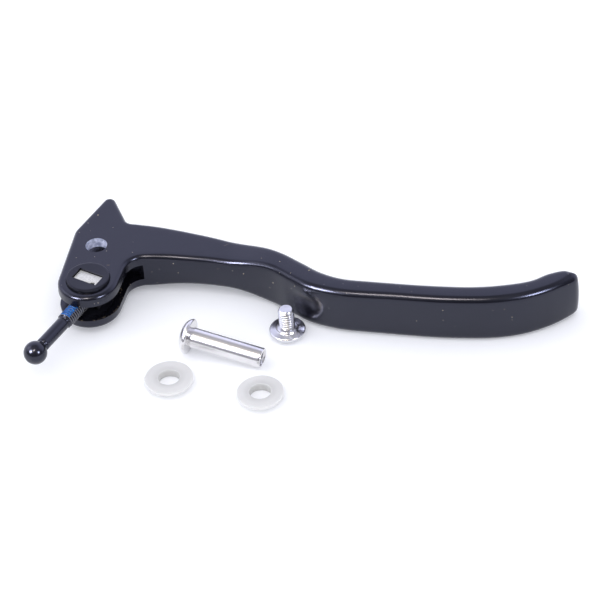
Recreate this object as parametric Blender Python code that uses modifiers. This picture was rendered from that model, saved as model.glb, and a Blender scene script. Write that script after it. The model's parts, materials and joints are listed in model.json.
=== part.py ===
"""Hydraulic clutch lever kit: lever blade, pushrod with its barrel nut, and loose pivot hardware.

The lever lies on its side on the ground plane.  +X runs along the blade towards its tip, +Y is the
side that the fingers pull on and +Z is parallel to the pivot axis.  Outlines are written in
millimetres from the pivot axis, and MM turns them into metres.
"""

import math

import bmesh
import bpy
from mathutils import Matrix, Vector

MM = 0.001
FIT_GAP = 0.3                 # clearance kept between neighbouring solids

# Where the pivot axis stands, and the height of the blade's mid plane
PIVOT_X = -50.82
PIVOT_Y = 15.81
MID_Z = 6.5

# Lever blade
EDGE_RADIUS = 1.0             # rounding of every forged edge
BLADE_HEIGHT = 13.0           # full height of the finger part, the tallest stretch
HEIGHT_STATIONS = [           # distance along the blade, height of the blade there
    (-20.0, 9.8), (12.0, 9.8), (24.5, 8.7), (31.5, 8.7), (44.0, 12.1), (61.0, 12.6), (76.0, 13.0),
    (98.0, 13.0), (117.5, 12.5),
]
PIVOT_BORE = 5.4
SLOT_GAP = 4.4                # space between the two ears
SLOT_CUTTER_RADIUS = 40.0     # the ears are parted by a round slitting saw
SLOT_CUTTER_CENTRE = (-19.5, -30.3)
SCOOP_RADIUS = 5.0            # hollow along the near side of the neck
SCOOP_DEPTH = 1.2
SCOOP_ROUTE = [(22.0, -5.5), (31.6, -7.3), (37.8, -9.2), (43.0, -11.8), (47.1, -15.2), (51.2, -18.5)]

# Ear around the barrel nut
BARREL = (-1.05, -12.6)
EAR_RADIUS = 7.55
EAR_START_DEG = 171.8
EAR_END_DEG = 346.7
CROTCH_CENTRE = (11.95, -9.55)
CROTCH_RADIUS = 4.5
CROTCH_START_DEG = 166.7
CROTCH_END_DEG = 90.0

# Corners of the head: x, y, rounding radius
LEFT_SHOULDER = (-5.87, 6.17, 8.0)
NOSE_TIP = (2.16, 20.93, 1.8)
NOSE_FOOT = (7.0, 8.2, 1.6)

NEAR_EDGE = [
    (11.95, -5.05), (18.5, -5.2), (25.5, -6.0), (31.6, -7.3), (37.8, -9.2), (43.0, -11.8),
    (47.1, -15.2), (51.2, -18.5), (55.3, -20.6), (61.4, -22.5), (71.4, -24.1), (83.4, -25.9),
    (93.3, -26.6), (99.2, -26.3), (104.6, -25.2), (109.5, -23.2), (113.2, -21.0), (115.2, -19.35),
]
TIP_CAP = [
    (115.2, -19.35), (116.5, -18.1), (117.0, -17.3), (116.5, -16.65), (115.2, -16.1), (113.1, -15.65),
]
FAR_EDGE = [
    (113.1, -15.65), (109.3, -17.1), (104.9, -19.3), (98.0, -20.85), (90.1, -21.05), (78.2, -19.75),
    (67.2, -17.75), (60.6, -16.0), (55.5, -13.1), (50.8, -9.3), (45.6, -5.3), (38.4, -1.7),
    (30.1, 2.1), (21.9, 5.2), (14.8, 7.0), (9.3, 7.95),
]

# Barrel nut and its two plastic bushes
BUSH_RADIUS = 5.3
BUSH_PROUD = 0.8
WINDOW_LONG = 6.85
WINDOW_SHORT = 3.7
NUT_SUNK = 0.35               # how far the nut ends below the bush faces

# Pushrod, measured from the barrel axis
BALL_DISTANCE = 23.65
BALL_RADIUS = 2.85
SHANK_RADIUS = 1.65
NECK_RADIUS = 1.4
THREAD_RADIUS = 1.95
THREAD_END = 11.6
ROD_TAIL = 6.0
ROD_YAW_DEG = -119.0
PATCH_START = 4.2
PATCH_END = 11.2
PATCH_WIDTH_DEG = 150.0
PATCH_CENTRE_DEG = 50.0
PATCH_DEPTH = 0.16

# Pivot pin, measured from the underside of its head
PIN_PLACE = (24.1, -26.9)
PIN_YAW_DEG = -19.8
PIN_RADIUS = 2.5
PIN_LENGTH = 18.5
PIN_HEAD_RADIUS = 4.4
PIN_HEAD_HEIGHT = 1.8
PIN_BORE_RADIUS = 1.7
PIN_BORE_DEPTH = 13.0
PIN_SOCKET = 3.0              # across flats

# Pivot screw, standing on its head
SCREW_PLACE = (46.95, -21.9)
SCREW_TOP = 8.1
SCREW_HEAD_RADIUS = 4.4
SCREW_HEAD_HEIGHT = 1.9
SCREW_SOCKET = 2.5            # across flats

# Flanged pivot bushes, lying on their bosses
BUSH_PLACES = {"pivot_bush_left": (19.3, -38.5), "pivot_bush_right": (41.2, -44.25)}
FLANGE_RADIUS = 5.8
FLANGE_THICKNESS = 1.0
BOSS_RADIUS = 3.7
BOSS_HEIGHT = 1.2
BUSH_HOLE_RADIUS = 2.55

ROUND_STEPS = 40


def clear_scene():
    """Remove whatever the open file already holds."""
    for item in list(bpy.data.objects):
        bpy.data.objects.remove(item, do_unlink=True)


def make_collection(name):
    """Add an empty collection to the scene."""
    collection = bpy.data.collections.new(name)
    bpy.context.scene.collection.children.link(collection)
    return collection


def make_material(name, colour, roughness, metallic):
    """A plain Principled material."""
    material = bpy.data.materials.new(name)
    material.use_nodes = True
    shader = material.node_tree.nodes["Principled BSDF"]
    shader.inputs["Base Color"].default_value = (*colour, 1.0)
    shader.inputs["Roughness"].default_value = roughness
    shader.inputs["Metallic"].default_value = metallic
    return material


def world(x, y, z=0.0):
    """Metres in the scene from millimetres measured from the pivot axis, with z above the ground."""
    return Vector(((x + PIVOT_X) * MM, (y + PIVOT_Y) * MM, z * MM))


def new_object(name, data, material, collection):
    """Wrap a mesh or curve in an object of the collection."""
    item = bpy.data.objects.new(name, data)
    data.materials.append(material)
    collection.objects.link(item)
    return item


def mesh_from_bmesh(name, bm):
    """Write a bmesh out as a mesh and free it."""
    mesh = bpy.data.meshes.new(name)
    bm.to_mesh(mesh)
    bm.free()
    return mesh


def smooth_round(mesh):
    """Shade round stretches smooth and keep real edges sharp."""
    mesh.shade_smooth()
    mesh.set_sharp_from_angle(angle=math.radians(35.0))


def arc(centre, radius, start_deg, end_deg, step_deg):
    """Points along a circular arc, both ends included."""
    count = max(2, int(round(abs(end_deg - start_deg) / step_deg)) + 1)
    points = []
    for index in range(count):
        angle = math.radians(start_deg + (end_deg - start_deg) * index / (count - 1))
        points.append((centre[0] + radius * math.cos(angle), centre[1] + radius * math.sin(angle)))
    return points


def rounded_corner(before, corner, after, step_deg):
    """Replace a corner (x, y, radius) by the arc that touches both of its sides."""
    place = Vector(corner[:2])
    to_before = (Vector(before) - place).normalized()
    to_after = (Vector(after) - place).normalized()
    half = to_before.angle(to_after) / 2.0
    centre = place + (to_before + to_after).normalized() * (corner[2] / math.sin(half))
    first = place + to_before * (corner[2] / math.tan(half)) - centre
    turn = math.degrees(math.pi - 2.0 * half)
    if to_before.cross(to_after) > 0.0:
        turn = -turn
    start = math.degrees(math.atan2(first.y, first.x))
    return arc(centre, corner[2], start, start + turn, step_deg)


def spline(points, per_span):
    """A smooth curve through the points, as evenly split spans."""
    padded = [Vector(p) for p in points]
    padded = [padded[0] * 2.0 - padded[1]] + padded + [padded[-1] * 2.0 - padded[-2]]
    result = []
    for index in range(1, len(padded) - 2):
        a, b, c, d = padded[index - 1:index + 3]
        for step in range(per_span):
            t = step / per_span
            place = 0.5 * (2.0 * b + (c - a) * t + (2.0 * a - 5.0 * b + 4.0 * c - d) * t ** 2
                           + (3.0 * b - a - 3.0 * c + d) * t ** 3)
            result.append((place.x, place.y))
    result.append(tuple(points[-1]))
    return result


def lever_outline():
    """The blade seen along the pivot axis, anticlockwise from the ear."""
    ear = arc(BARREL, EAR_RADIUS, EAR_START_DEG, EAR_END_DEG, 12.0)
    crotch = arc(CROTCH_CENTRE, CROTCH_RADIUS, CROTCH_START_DEG, CROTCH_END_DEG, 18.0)
    outline = ear + crotch[:-1]
    outline += spline(NEAR_EDGE, 2)[:-1]
    outline += spline(TIP_CAP, 2)[:-1]
    outline += spline(FAR_EDGE, 2)
    outline += rounded_corner(FAR_EDGE[-1], NOSE_FOOT, NOSE_TIP[:2], 18.0)
    outline += rounded_corner(NOSE_FOOT[:2], NOSE_TIP, LEFT_SHOULDER[:2], 22.0)
    outline += rounded_corner(NOSE_TIP[:2], LEFT_SHOULDER, ear[0], 7.0)
    return outline


def blade_height(x):
    """Height of the blade at a distance along it, eased between the stations."""
    for (x0, h0), (x1, h1) in zip(HEIGHT_STATIONS, HEIGHT_STATIONS[1:]):
        if x <= x1:
            t = max(0.0, (x - x0) / (x1 - x0))
            return h0 + (h1 - h0) * t * t * (3.0 - 2.0 * t)
    return HEIGHT_STATIONS[-1][1]


def curve_to_mesh(item):
    """Turn a curve object into a welded mesh object of the same name and place."""
    graph = bpy.context.evaluated_depsgraph_get()
    mesh = bpy.data.meshes.new_from_object(item.evaluated_get(graph))
    bm = bmesh.new()
    bm.from_mesh(mesh)
    bmesh.ops.remove_doubles(bm, verts=bm.verts, dist=1e-6)
    bmesh.ops.recalc_face_normals(bm, faces=bm.faces)
    bm.to_mesh(mesh)
    bm.free()
    solid = bpy.data.objects.new(item.name, mesh)
    solid.matrix_world = item.matrix_world
    for collection in item.users_collection:
        collection.objects.link(solid)
    name = item.name
    bpy.data.objects.remove(item, do_unlink=True)
    solid.name = name
    return solid


def add_cutter(name, mesh, place, collection):
    """A cutting tool: shown as wires and left out of the model."""
    cutter = bpy.data.objects.new(name, mesh)
    cutter.location = place
    cutter.hide_render = True
    cutter.display_type = "WIRE"
    collection.objects.link(cutter)
    return cutter


def cut(item, cutter):
    """Take the cutter's shape out of the object."""
    modifier = item.modifiers.new("Cut_" + cutter.name, "BOOLEAN")
    modifier.operation = "DIFFERENCE"
    modifier.solver = "EXACT"
    modifier.object = cutter


def cylinder_mesh(name, radius, height, sides):
    """An upright cylinder or prism centred on its own origin."""
    bm = bmesh.new()
    bmesh.ops.create_cone(bm, cap_ends=True, segments=sides, radius1=radius * MM,
                          radius2=radius * MM, depth=height * MM)
    return mesh_from_bmesh(name, bm)


def hexagon_mesh(name, across_flats, height):
    """The shape of a hexagon key."""
    return cylinder_mesh(name, across_flats / math.sqrt(3.0), height, 6)


def box_mesh(name, long_side, short_side, height):
    """A box centred on its own origin."""
    bm = bmesh.new()
    bmesh.ops.create_cube(bm, size=MM)
    bmesh.ops.scale(bm, vec=(long_side, short_side, height), verts=bm.verts)
    return mesh_from_bmesh(name, bm)


def add_bevel(item, width, segments):
    """Round the object's sharp edges."""
    modifier = item.modifiers.new("EdgeRounding", "BEVEL")
    modifier.width = width * MM
    modifier.segments = segments
    modifier.limit_method = "ANGLE"
    modifier.angle_limit = math.radians(40.0)


def turned(name, profile, material, collection):
    """A lathe-turned piece around its own Z, from (radius, z) points down its outer side."""
    bm = bmesh.new()
    verts = [bm.verts.new((radius * MM, 0.0, z * MM)) for radius, z in profile]
    for first, second in zip(verts, verts[1:]):
        bm.edges.new((first, second))
    if profile[0][0] > 0.0:
        bm.edges.new((verts[-1], verts[0]))
    item = new_object(name, mesh_from_bmesh(name, bm), material, collection)
    modifier = item.modifiers.new("Turning", "SCREW")
    modifier.axis = "Z"
    modifier.angle = 2.0 * math.pi
    modifier.steps = ROUND_STEPS
    modifier.render_steps = ROUND_STEPS
    modifier.use_merge_vertices = True
    modifier.merge_threshold = 1e-6
    modifier.use_smooth_shade = True
    return item


def make_lever_blade(parts, cutters):
    """Forged aluminium blade: filleted outline, waisted height, slotted ears, bores and scoop."""
    paint = make_material("satin_black_paint", (0.035, 0.036, 0.042), 0.38, 0.0)
    curve = bpy.data.curves.new("lever_blade", "CURVE")
    curve.dimensions = "2D"
    curve.fill_mode = "BOTH"
    curve.extrude = (BLADE_HEIGHT / 2.0 - EDGE_RADIUS) * MM
    curve.bevel_depth = EDGE_RADIUS * MM
    curve.bevel_resolution = 1
    curve.offset = -EDGE_RADIUS * MM
    outline = lever_outline()
    path = curve.splines.new("POLY")
    path.points.add(len(outline) - 1)
    for point, (x, y) in zip(path.points, outline):
        point.co = (x * MM, y * MM, 0.0, 1.0)
    path.use_cyclic_u = True
    raw = new_object("lever_blade", curve, paint, parts)
    raw.location = world(0.0, 0.0, MID_Z)
    bpy.context.view_layer.update()
    blade = curve_to_mesh(raw)
    for vertex in blade.data.vertices:
        vertex.co.z *= blade_height(vertex.co.x / MM) / BLADE_HEIGHT
    smooth_round(blade.data)

    tall = BLADE_HEIGHT * 2.0
    slot = cylinder_mesh("slot_cutter", SLOT_CUTTER_RADIUS, SLOT_GAP, 160)
    cut(blade, add_cutter("slot_cutter", slot, world(*SLOT_CUTTER_CENTRE, MID_Z), cutters))
    bore = cylinder_mesh("pivot_bore_cutter", PIVOT_BORE / 2.0, tall, ROUND_STEPS)
    cut(blade, add_cutter("pivot_bore_cutter", bore, world(0.0, 0.0, MID_Z), cutters))
    seat = cylinder_mesh("bush_seat_cutter", BUSH_RADIUS + FIT_GAP, tall, ROUND_STEPS)
    cut(blade, add_cutter("bush_seat_cutter", seat, world(*BARREL, MID_Z), cutters))
    cut(blade, make_scoop_cutter(cutters))
    return blade


def make_scoop_cutter(cutters):
    """A round bar that follows the near side of the neck and bites into it."""
    route = spline(SCOOP_ROUTE, 2)
    curve = bpy.data.curves.new("scoop_cutter", "CURVE")
    curve.dimensions = "3D"
    curve.bevel_depth = SCOOP_RADIUS * MM
    curve.bevel_resolution = 4
    curve.use_fill_caps = True
    path = curve.splines.new("POLY")
    path.points.add(len(route) - 1)
    for index, point in enumerate(path.points):
        here = Vector(route[index])
        ahead = Vector(route[min(index + 1, len(route) - 1)]) - Vector(route[max(index - 1, 0)])
        outward = Vector((ahead.y, -ahead.x)).normalized()
        centre = here + outward * (SCOOP_RADIUS - SCOOP_DEPTH)
        point.co = (centre.x * MM, centre.y * MM, 0.0, 1.0)
    raw = bpy.data.objects.new("scoop_cutter", curve)
    raw.location = world(0.0, 0.0, MID_Z)
    cutters.objects.link(raw)
    bpy.context.view_layer.update()
    cutter = curve_to_mesh(raw)
    cutter.hide_render = True
    cutter.display_type = "WIRE"
    return cutter


def make_barrel(parts, cutters):
    """Flat steel nut with a tapped cross hole, held at both ends by turning plastic bushes."""
    plastic = make_material("black_plastic", (0.03, 0.03, 0.034), 0.5, 0.0)
    steel = make_material("bare_steel", (0.6, 0.6, 0.6), 0.4, 1.0)
    across = Matrix.Rotation(math.radians(ROD_YAW_DEG + 90.0), 4, "Z")
    head_half = HEIGHT_STATIONS[0][1] / 2.0
    inner = SLOT_GAP / 2.0
    outer = head_half + BUSH_PROUD
    window = box_mesh("window_cutter", WINDOW_LONG, WINDOW_SHORT, BLADE_HEIGHT * 2.0)
    window_cutter = add_cutter("window_cutter", window, world(*BARREL, MID_Z), cutters)
    window_cutter.rotation_euler = across.to_euler()
    for name, side in (("upper_barrel_bush", 1.0), ("lower_barrel_bush", -1.0)):
        mesh = cylinder_mesh(name, BUSH_RADIUS, outer - inner, ROUND_STEPS)
        smooth_round(mesh)
        bush = new_object(name, mesh, plastic, parts)
        bush.location = world(*BARREL, MID_Z + side * (outer + inner) / 2.0)
        add_bevel(bush, 0.25, 2)
        cut(bush, window_cutter)

    nut_mesh = box_mesh("barrel_nut", WINDOW_LONG - 2.0 * FIT_GAP, WINDOW_SHORT - 2.0 * FIT_GAP,
                        2.0 * (outer - NUT_SUNK))
    nut = new_object("barrel_nut", nut_mesh, steel, parts)
    nut.location = world(*BARREL, MID_Z)
    nut.rotation_euler = across.to_euler()
    add_bevel(nut, 0.2, 1)
    hole = cylinder_mesh("tapped_hole_cutter", THREAD_RADIUS + FIT_GAP, 12.0, ROUND_STEPS)
    hole_cutter = add_cutter("tapped_hole_cutter", hole, world(*BARREL, MID_Z), cutters)
    hole_cutter.rotation_euler = rod_rotation().to_euler()
    cut(nut, hole_cutter)


def rod_rotation():
    """Turns local +Z onto the pushrod's axis, from the barrel towards the ball."""
    return Matrix.Rotation(math.radians(ROD_YAW_DEG), 4, "Z") @ Matrix.Rotation(math.pi / 2.0, 4, "Y")


def make_pushrod(parts, cutters):
    """Threaded rod with a ball end and a hexagon socket in its tail."""
    black_steel = make_material("black_oxide_steel", (0.06, 0.06, 0.065), 0.32, 0.8)
    ball_start = math.asin(NECK_RADIUS / BALL_RADIUS)
    ball = []
    for index in range(13):
        angle = (math.pi - ball_start) * index / 12.0
        ball.append((BALL_RADIUS * math.sin(angle), BALL_DISTANCE + BALL_RADIUS * math.cos(angle)))
    neck_end = ball[-1][1]
    profile = ball + [
        (NECK_RADIUS, neck_end - 0.5), (SHANK_RADIUS, neck_end - 0.9), (SHANK_RADIUS, THREAD_END),
        (THREAD_RADIUS, THREAD_END - 0.3), (THREAD_RADIUS, -ROD_TAIL + 0.4),
        (THREAD_RADIUS - 0.4, -ROD_TAIL), (0.0, -ROD_TAIL),
    ]
    rod = turned("pushrod", profile, black_steel, parts)
    rod.location = world(*BARREL, MID_Z)
    rod.rotation_euler = rod_rotation().to_euler()

    socket = hexagon_mesh("rod_socket_cutter", 2.0, 5.0)
    socket_place = rod.location - rod_rotation().to_3x3() @ Vector((0.0, 0.0, ROD_TAIL * MM))
    socket_cutter = add_cutter("rod_socket_cutter", socket, socket_place, cutters)
    socket_cutter.rotation_euler = rod.rotation_euler
    cut(rod, socket_cutter)

    recess = sector_mesh("patch_recess_cutter", THREAD_RADIUS - PATCH_DEPTH - FIT_GAP,
                         THREAD_RADIUS + 1.0, PATCH_WIDTH_DEG + 20.0, PATCH_START - FIT_GAP,
                         PATCH_END + FIT_GAP)
    recess_cutter = add_cutter("patch_recess_cutter", recess, rod.location, cutters)
    recess_cutter.rotation_euler = rod.rotation_euler
    cut(rod, recess_cutter)

    nylon = make_material("blue_locking_nylon", (0.05, 0.3, 0.75), 0.6, 0.0)
    patch_mesh = sector_mesh("thread_lock_patch", THREAD_RADIUS - PATCH_DEPTH, THREAD_RADIUS,
                             PATCH_WIDTH_DEG, PATCH_START, PATCH_END)
    smooth_round(patch_mesh)
    patch = new_object("thread_lock_patch", patch_mesh, nylon, parts)
    patch.location = rod.location
    patch.rotation_euler = rod.rotation_euler


def sector_mesh(name, inner, outer, width_deg, start, end):
    """Part of a tube around local Z, centred on the patch's side of the rod."""
    middle = 180.0 + PATCH_CENTRE_DEG
    steps = max(6, int(width_deg / 10.0))
    bm = bmesh.new()
    rings = []
    for index in range(steps + 1):
        angle = math.radians(middle - width_deg / 2.0 + width_deg * index / steps)
        corners = ((inner, start), (outer, start), (outer, end), (inner, end))
        rings.append([
            bm.verts.new((r * MM * math.cos(angle), r * MM * math.sin(angle), z * MM))
            for r, z in corners
        ])
    for first, second in zip(rings, rings[1:]):
        for side in range(4):
            after = (side + 1) % 4
            bm.faces.new((first[side], first[after], second[after], second[side]))
    bm.faces.new(rings[0])
    bm.faces.new(rings[-1])
    bmesh.ops.recalc_face_normals(bm, faces=bm.faces)
    return mesh_from_bmesh(name, bm)


def make_pivot_pin(parts, cutters):
    """Polished steel pin with a thin pan head, tapped from its far end, lying on the ground."""
    steel = make_material("polished_steel", (0.75, 0.75, 0.76), 0.15, 1.0)
    rim_z = -0.45
    profile = [
        (PIN_BORE_RADIUS, PIN_LENGTH), (PIN_RADIUS - 0.3, PIN_LENGTH), (PIN_RADIUS, PIN_LENGTH - 0.4),
        (PIN_RADIUS, 0.0), (PIN_HEAD_RADIUS - 0.25, 0.0), (PIN_HEAD_RADIUS, rim_z + 0.15),
        (PIN_HEAD_RADIUS, rim_z - 0.15), (PIN_HEAD_RADIUS - 0.6, -1.15),
        (PIN_HEAD_RADIUS - 1.6, -PIN_HEAD_HEIGHT), (0.0, -PIN_HEAD_HEIGHT),
    ]
    bore_floor = PIN_LENGTH - PIN_BORE_DEPTH
    profile = [(0.0, bore_floor), (PIN_BORE_RADIUS, bore_floor)] + profile
    pin = turned("pivot_pin", profile, steel, parts)
    run = PIN_LENGTH - 0.4 - rim_z
    tilt = math.atan((PIN_HEAD_RADIUS - PIN_RADIUS) / run)
    height = PIN_HEAD_RADIUS * math.cos(tilt) + rim_z * math.sin(tilt) + 0.03
    pin.location = world(*PIN_PLACE, height)
    turn = Matrix.Rotation(math.radians(PIN_YAW_DEG), 4, "Z") @ Matrix.Rotation(
        math.pi / 2.0 + tilt, 4, "Y")
    pin.rotation_euler = turn.to_euler()

    socket = hexagon_mesh("pin_socket_cutter", PIN_SOCKET, 4.0)
    place = pin.location - turn.to_3x3() @ Vector((0.0, 0.0, PIN_HEAD_HEIGHT * MM))
    socket_cutter = add_cutter("pin_socket_cutter", socket, place, cutters)
    socket_cutter.rotation_euler = pin.rotation_euler
    cut(pin, socket_cutter)


def make_pivot_screw(parts, cutters):
    """Short retaining screw with a domed flange head, standing on that head."""
    steel = make_material("zinc_plated_steel", (0.62, 0.62, 0.64), 0.25, 1.0)
    profile = [
        (0.0, SCREW_TOP), (1.6, SCREW_TOP), (1.95, SCREW_TOP - 0.4), (1.95, SCREW_HEAD_HEIGHT + 0.4),
        (2.55, SCREW_HEAD_HEIGHT + 0.4), (2.65, SCREW_HEAD_HEIGHT), (4.2, SCREW_HEAD_HEIGHT),
        (SCREW_HEAD_RADIUS, SCREW_HEAD_HEIGHT - 0.3), (SCREW_HEAD_RADIUS, 1.1), (4.0, 0.55),
        (3.3, 0.15), (2.6, 0.0), (0.0, 0.0),
    ]
    screw = turned("pivot_screw", profile, steel, parts)
    screw.location = world(*SCREW_PLACE, 0.0)
    socket = hexagon_mesh("screw_socket_cutter", SCREW_SOCKET, 2.8)
    cut(screw, add_cutter("screw_socket_cutter", socket, screw.location, cutters))


def make_pivot_bushes(parts):
    """Two moulded nylon bushes, each a thin flange on a short boss."""
    nylon = make_material("natural_nylon", (0.75, 0.74, 0.78), 0.4, 0.0)
    top = BOSS_HEIGHT + FLANGE_THICKNESS
    profile = [
        (BUSH_HOLE_RADIUS, top), (FLANGE_RADIUS - 0.15, top), (FLANGE_RADIUS, top - 0.15),
        (FLANGE_RADIUS, BOSS_HEIGHT + 0.15), (FLANGE_RADIUS - 0.15, BOSS_HEIGHT),
        (BOSS_RADIUS, BOSS_HEIGHT), (BOSS_RADIUS, 0.0), (BUSH_HOLE_RADIUS, 0.0),
    ]
    for name, place in BUSH_PLACES.items():
        bush = turned(name, profile, nylon, parts)
        bush.location = world(*place, 0.0)


clear_scene()
parts = make_collection("clutch_lever")
cutters = make_collection("cutters")
make_lever_blade(parts, cutters)
make_barrel(parts, cutters)
make_pushrod(parts, cutters)
make_pivot_pin(parts, cutters)
make_pivot_screw(parts, cutters)
make_pivot_bushes(parts)
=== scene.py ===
import json
import math

import bmesh
import bpy
from mathutils import Matrix, Vector, geometry, kdtree, noise


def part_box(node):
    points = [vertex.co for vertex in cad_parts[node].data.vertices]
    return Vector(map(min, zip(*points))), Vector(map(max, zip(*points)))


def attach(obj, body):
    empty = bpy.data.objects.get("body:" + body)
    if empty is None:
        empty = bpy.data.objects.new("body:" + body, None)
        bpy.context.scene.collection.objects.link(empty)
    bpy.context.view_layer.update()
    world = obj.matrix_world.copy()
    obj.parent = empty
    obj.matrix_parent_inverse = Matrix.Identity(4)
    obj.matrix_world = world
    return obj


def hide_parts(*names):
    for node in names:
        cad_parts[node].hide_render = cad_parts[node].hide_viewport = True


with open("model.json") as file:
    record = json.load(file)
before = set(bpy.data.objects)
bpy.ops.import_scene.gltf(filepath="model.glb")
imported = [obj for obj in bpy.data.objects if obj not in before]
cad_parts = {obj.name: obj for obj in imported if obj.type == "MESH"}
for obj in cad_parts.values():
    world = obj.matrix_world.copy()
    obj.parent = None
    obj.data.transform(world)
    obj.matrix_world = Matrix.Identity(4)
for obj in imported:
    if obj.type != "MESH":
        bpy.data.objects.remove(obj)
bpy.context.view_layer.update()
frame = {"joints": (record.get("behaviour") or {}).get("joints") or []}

VIEW_DISTANCE = 0.732
VIEW_ELEVATION = math.radians(41.0)
VIEW_AZIMUTH = math.radians(-4.6)
VIEW_ROLL = math.radians(4.7)
VIEW_CENTRE = Vector((-0.00128, 0.00621, 0.0))
camera_data = bpy.data.cameras.new("camera")
camera_data.lens = 180.0
camera_data.sensor_width = 36.0
camera_data.clip_start = 0.01
camera = bpy.data.objects.new("camera", camera_data)
camera_turn = (Matrix.Rotation(-VIEW_AZIMUTH, 4, "Z")
               @ Matrix.Rotation(math.pi / 2.0 - VIEW_ELEVATION, 4, "X")
               @ Matrix.Rotation(-VIEW_ROLL, 4, "Z"))
camera.matrix_world = (Matrix.Translation(VIEW_CENTRE) @ camera_turn
                       @ Matrix.Translation((0.0, 0.0, VIEW_DISTANCE)))
bpy.context.scene.collection.objects.link(camera)
bpy.context.scene.camera = camera
bpy.context.scene.view_settings.view_transform = "Standard"

# The floor is a wide sheet of white paper with the faintest tooth, lying under the whole kit on a light
# table that glows a little through it.
FLOOR_RADIUS = 3.0
floor_mesh = bpy.data.meshes.new("floor")
bm = bmesh.new()
bmesh.ops.create_circle(bm, cap_ends=True, segments=96, radius=FLOOR_RADIUS)
bm.to_mesh(floor_mesh)
bm.free()
floor = bpy.data.objects.new("floor", floor_mesh)
bpy.context.scene.collection.objects.link(floor)


def new_material(name, base, roughness, metallic=0.0):
    """A Principled material with its plain values set on the shader's own sockets."""
    material = bpy.data.materials.new(name)
    material.use_nodes = True
    shader = material.node_tree.nodes["Principled BSDF"]
    shader.inputs["Base Color"].default_value = (*base, 1.0)
    shader.inputs["Roughness"].default_value = roughness
    shader.inputs["Metallic"].default_value = metallic
    return material, material.node_tree, shader


def add_node(tree, kind, inputs=None, **settings):
    """Add a node, set its properties, and fill or link its inputs."""
    node = tree.nodes.new(kind)
    for key, value in settings.items():
        setattr(node, key, value)
    for key, value in (inputs or {}).items():
        if isinstance(value, bpy.types.NodeSocket):
            tree.links.new(value, node.inputs[key])
        else:
            node.inputs[key].default_value = value
    return node


def blend_colour(tree, factor, first, second, mode="MIX"):
    """Mix two colours by a factor that changes over the surface."""
    node = add_node(tree, "ShaderNodeMix", data_type="RGBA", blend_type=mode)
    for socket, value in ((node.inputs[0], factor), (node.inputs[6], first), (node.inputs[7], second)):
        if isinstance(value, bpy.types.NodeSocket):
            tree.links.new(value, socket)
        else:
            socket.default_value = value
    return node.outputs[2]


def ramp(tree, value, low, high, first=0.0, last=1.0):
    """Stretch a value between two limits."""
    return add_node(tree, "ShaderNodeMapRange", {
        "Value": value, "From Min": low, "From Max": high, "To Min": first, "To Max": last,
    }).outputs["Result"]


floor_paint, tree, shader = new_material("white_paper", (0.88, 0.885, 0.89), 0.8)
shader.inputs["Specular IOR Level"].default_value = 0.1
shader.inputs["Emission Color"].default_value = (0.9, 0.92, 1.0, 1.0)
shader.inputs["Emission Strength"].default_value = 0.17
place = add_node(tree, "ShaderNodeTexCoord").outputs["Object"]
tooth = add_node(tree, "ShaderNodeTexNoise", {"Vector": place, "Scale": 900.0, "Detail": 3.0})
tone = ramp(tree, tooth.outputs["Fac"], 0.3, 0.7)
tree.links.new(blend_colour(tree, tone, (0.875, 0.88, 0.885, 1.0), (0.885, 0.89, 0.895, 1.0)),
               shader.inputs["Base Color"])
floor_mesh.materials.append(floor_paint)

# The light is a white tent that fills every shadow. What the polished pieces mirror is a bright bluish
# backdrop behind them, a dim room in front, two strobes and a warm lamp under the ceiling.
world = bpy.data.worlds.new("studio")
bpy.context.scene.world = world
world.use_nodes = True
tree = world.node_tree
background = tree.nodes["Background"]
direction = add_node(tree, "ShaderNodeTexCoord").outputs["Generated"]
axes = add_node(tree, "ShaderNodeSeparateXYZ", {"Vector": direction})
behind = ramp(tree, axes.outputs["Y"], -0.2, 0.25)
low = ramp(tree, axes.outputs["Z"], 0.9, 0.72)
backdrop = add_node(tree, "ShaderNodeMath", {0: behind, 1: low}, operation="MULTIPLY").outputs[0]
overhead = ramp(tree, axes.outputs["Z"], 0.5, 1.0)
room = blend_colour(tree, overhead, (0.12, 0.12, 0.15, 1.0), (0.5, 0.5, 0.54, 1.0))
mirrored = blend_colour(tree, backdrop, room, (1.08, 1.1, 1.4, 1.0))
frontward = ramp(tree, axes.outputs["Y"], 0.8, -0.8)
tent = blend_colour(tree, frontward, (0.84, 0.85, 0.91, 1.0), (1.4, 1.41, 1.49, 1.0))
path = add_node(tree, "ShaderNodeLightPath")
sky = blend_colour(tree, path.outputs["Is Diffuse Ray"], mirrored, tent)
tree.links.new(sky, background.inputs["Color"])
background.inputs["Strength"].default_value = 1.0


def add_lamp(name, towards, distance, size, watts, colour, fills=False):
    """Only the ones that fill light matt surfaces."""
    data = bpy.data.lights.new(name, "AREA")
    data.shape = "SQUARE"
    data.size = size
    data.energy = watts
    data.color = colour
    lamp = bpy.data.objects.new(name, data)
    aim = Vector(towards).normalized()
    lamp.matrix_world = Matrix.Translation(aim * distance) @ aim.to_track_quat("Z", "Y").to_matrix().to_4x4()
    lamp.visible_camera = False
    lamp.visible_diffuse = fills
    bpy.context.scene.collection.objects.link(lamp)


add_lamp("left_fill", (-0.8, 0.15, 0.6), 1.1, 0.6, 1.3, (1.0, 1.0, 1.04), fills=True)
add_lamp("left_strobe", (-0.62, -0.46, 0.64), 1.1, 0.32, 16.0, (1.0, 1.0, 1.1))
add_lamp("right_strobe", (0.59, -0.58, 0.56), 1.1, 0.24, 7.0, (0.95, 0.98, 1.15))
add_lamp("ceiling_lamp", (-0.15, -0.42, 0.88), 1.3, 0.26, 6.0, (1.0, 0.88, 0.7))

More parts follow.
